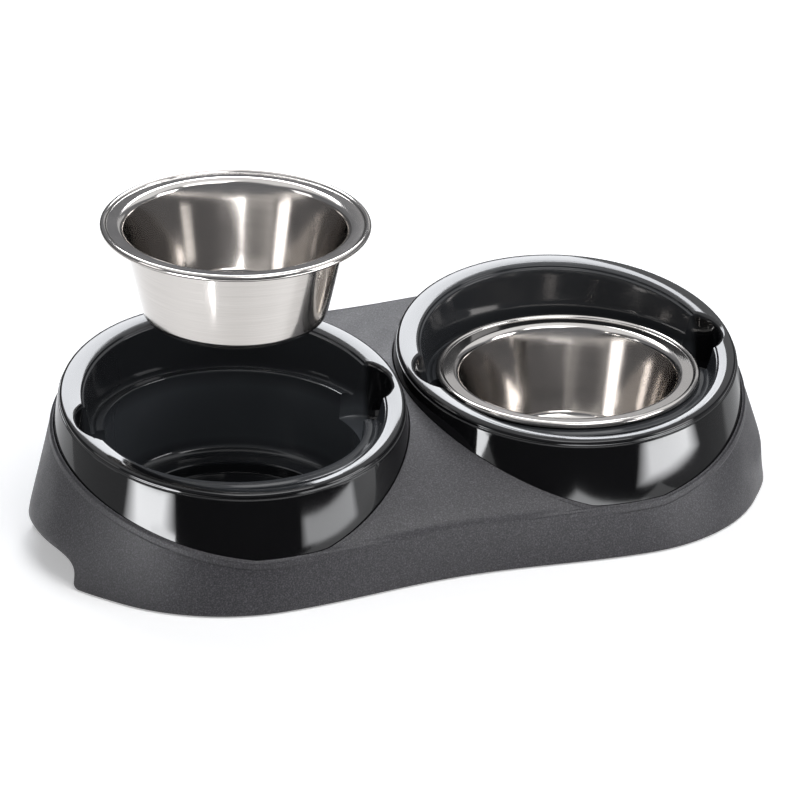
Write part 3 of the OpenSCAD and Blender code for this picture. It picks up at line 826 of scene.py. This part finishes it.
def bowlFace(bowl, inside):
    # inner or outer face, from the middle of the base up to the rolled edge
    flangeZ = bowl["height"] - bowl["bead"] / 2 - bowl["steel"] / 2
    turnX, turnZ = bowl["width"] / 2 - bowl["flange"], flangeZ - bowl["flangeRound"]
    baseRound, flangeRound, baseR = bowl["baseRound"], bowl["flangeRound"], bowl["base"] / 2
    apart, rise = turnX - baseR, turnZ - baseRound
    lean = math.degrees(math.atan2(apart, rise) - math.asin((baseRound + flangeRound) / math.hypot(apart, rise)))
    r, q, steps = baseRound - inside, flangeRound + inside, bowl["roundSteps"]
    face = [(x, inside) for x in baseRings]
    face += [(baseR + r * cosDeg(a), baseRound + r * sinDeg(a)) for a in np.linspace(-90, -lean, steps)]
    low = face[-1]
    turn = [(turnX + q * cosDeg(a), turnZ + q * sinDeg(a)) for a in np.linspace(180 - lean, 90, steps)]
    return face + [(mix(low[0], turn[0][0], t), mix(low[1], turn[0][1], t)) for t in sideShares] + turn


def makeBowl(name, node, bowl):
    outside, inside = bowlFace(bowl, 0), bowlFace(bowl, bowl["steel"])
    beadR, half = bowl["bead"] / 2, bowl["steel"] / 2
    beadX, beadZ = bowl["width"] / 2 - beadR, bowl["height"] - beadR
    start = 180 + math.degrees(math.asin(half / beadR))
    # the rolled edge, from the under side of the flange round to its upper side
    bead = [(beadX + beadR * cosDeg(a), beadZ + beadR * sinDeg(a))
            for a in np.linspace(start, 720 - start, bowl["beadSteps"])]
    joinX = beadX - math.sqrt(beadR ** 2 - half ** 2) - bowl["beadOverlap"]
    profile = outside + [(joinX, beadZ - half)] + bead + [(joinX, beadZ + half)] + inside[::-1]
    piece = turnedPiece(name, profile, [footOf(node)], bowl["segments"], steelFinish)
    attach(piece, node)
    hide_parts(node)
    print(name, "made:", len(piece.data.polygons), "faces")


makeBowl("left_bowl_spun", "left_bowl", bowlForm)
makeBowl("right_bowl_spun", "right_bowl", bowlForm)


# ---- feet: one turned form repeated at the four corners
footForm = {"width": 14, "stem": 7, "headHigh": 2.5, "high": 9.5, "soft": 0.5, "segments": 48}
footNodes = ["front_left_foot", "front_right_foot", "rear_left_foot", "rear_right_foot"]


def makeFeet(foot):
    head, stem, soft, headHigh, high = foot["width"] / 2, foot["stem"] / 2, foot["soft"], foot["headHigh"], foot["high"]
    profile = [(0, 0), (head * 0.5, 0), (head - soft, 0), (head - 0.3 * soft, 0.3 * soft), (head, soft),
               (head, headHigh - soft), (head - soft, headHigh),
               (stem, headHigh), (stem, high - soft), (stem - soft, high), (0, high)]
    piece = turnedPiece("rubber_feet", profile, [footOf(node) for node in footNodes], foot["segments"], rubberFinish)
    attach(piece, "stand")
    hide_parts(*footNodes)
    print("feet made")


makeFeet(footForm)


# ---- floor, world and lamps
roomSetup = {"floorSize": 30, "floorColour": (0.86, 0.86, 0.86), "floorGlow": 0.35, "world": (0.21, 0.215, 0.23)}
# each lamp: where it stands and what it looks at in metres, its width and height, and how bright its face is
lamps = {
    "keySoftbox": {"at": (0.158, 1.037, 1.135), "to": (-0.349, 0.112, 0.067), "size": (1.065, 0.338), "roll": 20,
                   "face": 10.0, "tint": (0.94, 0.96, 1)},
    "topFill": {"at": (0.2, -0.8, 1.75), "to": (0, 0, 0.05), "size": (1.2, 1.2), "roll": 0,
                "face": 4.2, "tint": (1, 1, 1)},
    "leftFill": {"at": (-1.7, 0.1, 0.6), "to": (-0.2, 0, 0.04), "size": (0.6, 0.6), "roll": 0,
                 "face": 2.2, "tint": (1, 1, 1)},
    "rightFill": {"at": (1.5, -1.1, 0.8), "to": (0.1, 0, 0.04), "size": (0.8, 0.8), "roll": 0,
                  "face": 5.5, "tint": (0.98, 0.98, 1)},
}
# cards that show only in the polished plastic and the steel: corners in millimetres, on the floor where no height
# is given, how bright they are, and the share of their size that their soft edge takes
cards = {
    "darkFront": {"corners": [(-2500, -2500), (2500, -2500), (2500, -260), (-2500, -260)], "glow": 0.05, "soft": 0},
    "darkLeft": {"corners": [(-2500, -260), (-430, -260), (-390, 60), (-500, 1500)], "glow": 0.5, "soft": 0},
    "darkRight": {"corners": [(262, -260), (2500, -260), (2500, 900), (262, 900)], "glow": 0.35, "soft": 0},
    "farLeft": {"corners": [(-425, -115), (-362, -222), (-560, -385), (-665, -160)], "glow": 20, "soft": 0.7},
    "nearLeft": {"corners": [(-250, -150), (-380, -272), (-437, -235), (-440, -200)], "glow": 17, "soft": 0.1},
    "middle": {"corners": [(-12, -276), (33, -368), (205, -243), (110, -185)], "glow": 6, "soft": 0.25},
    "nearRight": {"corners": [(235, -300), (330, -440), (520, -270), (368, -180)], "glow": 15, "soft": 0.5},
    "farRight": {"corners": [(280, -50), (430, -25), (380, 130), (270, 60)], "glow": 0.9, "soft": 0.3},
    "darkBehind": {"corners": [(-2500, 950, 0), (2500, 950, 0), (2500, 950, 430), (-2500, 950, 430)],
                   "glow": 0.1, "soft": 0},
    "paleBehind": {"corners": [(380, 1000, 440), (1300, 1000, 440), (1300, 1000, 700), (380, 1000, 700)],
                   "glow": 0.65, "soft": 0.2},
    "sheetAbove": {"corners": [(-1500, -600, 1500), (3000, -600, 1500), (3000, 3500, 2600), (-1500, 3500, 2600)],
                   "glow": 1.1, "soft": 0.3},
}
cardTint, cardGap = (0.97, 0.98, 1), 0.2  # each card lies this much above the one before, in millimetres


def makeFloor(setup):
    half = setup["floorSize"] / 2
    mesh = bpy.data.meshes.new("floor")
    mesh.from_pydata([(-half, -half, 0), (half, -half, 0), (half, half, 0), (-half, half, 0)], [], [(0, 1, 2, 3)])
    floor = bpy.data.objects.new("floor", mesh)
    bpy.context.scene.collection.objects.link(floor)
    material, tree, shader = newMaterial("pale floor")
    tree.nodes.remove(shader)
    node, link = tree.nodes.new, tree.links.new
    diffuse, glow, both = node("ShaderNodeBsdfDiffuse"), node("ShaderNodeEmission"), node("ShaderNodeAddShader")
    diffuse.inputs["Color"].default_value = (*setup["floorColour"], 1)
    # the floor glows white for the camera and in gloss and glass, and keeps the object's shadow
    rays = node("ShaderNodeLightPath")
    direct = mathNode(tree, "MAXIMUM", rays.outputs["Is Camera Ray"], rays.outputs["Is Glossy Ray"])
    seen = mathNode(tree, "MAXIMUM", direct, rays.outputs["Is Transmission Ray"])
    link(mathNode(tree, "MULTIPLY", seen, setup["floorGlow"]), glow.inputs["Strength"])
    link(diffuse.outputs[0], both.inputs[0])
    link(glow.outputs[0], both.inputs[1])
    link(both.outputs[0], tree.nodes["Material Output"].inputs["Surface"])
    mesh.materials.append(material)


def makeWorld(setup):
    world = bpy.data.worlds.new("studio")
    world.use_nodes = True
    world.node_tree.nodes["Background"].inputs["Color"].default_value = (*setup["world"], 1)
    bpy.context.scene.world = world


def makeLamp(name, setup):
    data = bpy.data.lights.new(name, "AREA")
    data.shape = "RECTANGLE"
    data.size, data.size_y = setup["size"]
    data.energy = setup["face"] * math.pi * data.size * data.size_y
    data.color = setup["tint"]
    lamp = bpy.data.objects.new(name, data)
    bpy.context.scene.collection.objects.link(lamp)
    lamp.location = setup["at"]
    aim = Vector(setup["to"]) - Vector(setup["at"])
    lamp.rotation_mode = "QUATERNION"
    lamp.rotation_quaternion = aim.to_track_quat("-Z", "Y") @ Quaternion((0, 0, 1), math.radians(setup["roll"]))
    lamp.visible_camera = False


def makeCard(name, setup, height):
    corners = [(Vector(c).to_3d() + Vector((0, 0, height))) * mm for c in setup["corners"]]
    centre, soft = sum(corners, Vector()) / 4, setup["soft"] / 2
    points = [centre + (c - centre) * size for size in (1 + soft, 1 - soft) for c in corners]
    border = [(i, (i + 1) % 4, (i + 1) % 4 + 4, i + 4) for i in range(4)] if soft else []
    mesh = bpy.data.meshes.new(name)
    mesh.from_pydata(points, [], [(4, 5, 6, 7), *border])
    share = mesh.attributes.new("glowShare", "FLOAT", "POINT")
    for number, point in enumerate(share.data):
        point.value = 1 if number > 3 or not soft else 0
    card = bpy.data.objects.new(name, mesh)
    bpy.context.scene.collection.objects.link(card)
    material, tree, shader = newMaterial(name)
    tree.nodes.remove(shader)
    fade, glow = tree.nodes.new("ShaderNodeAttribute"), tree.nodes.new("ShaderNodeEmission")
    clear, both = tree.nodes.new("ShaderNodeBsdfTransparent"), tree.nodes.new("ShaderNodeMixShader")
    fade.attribute_name = "glowShare"
    glow.inputs["Color"].default_value = (*cardTint, 1)
    glow.inputs["Strength"].default_value = setup["glow"]
    for number, source in enumerate((fade.outputs["Fac"], clear.outputs[0], glow.outputs[0])):
        tree.links.new(source, both.inputs[number])
    tree.links.new(both.outputs[0], tree.nodes["Material Output"].inputs["Surface"])
    mesh.materials.append(material)
    card.visible_camera = card.visible_diffuse = card.visible_shadow = card.visible_transmission = False


makeFloor(roomSetup)
makeWorld(roomSetup)
for lampName, lampSetup in lamps.items():
    makeLamp(lampName, lampSetup)
for number, (cardName, cardSetup) in enumerate(cards.items(), 1):
    makeCard(cardName, cardSetup, cardGap * number)
print("room lit")
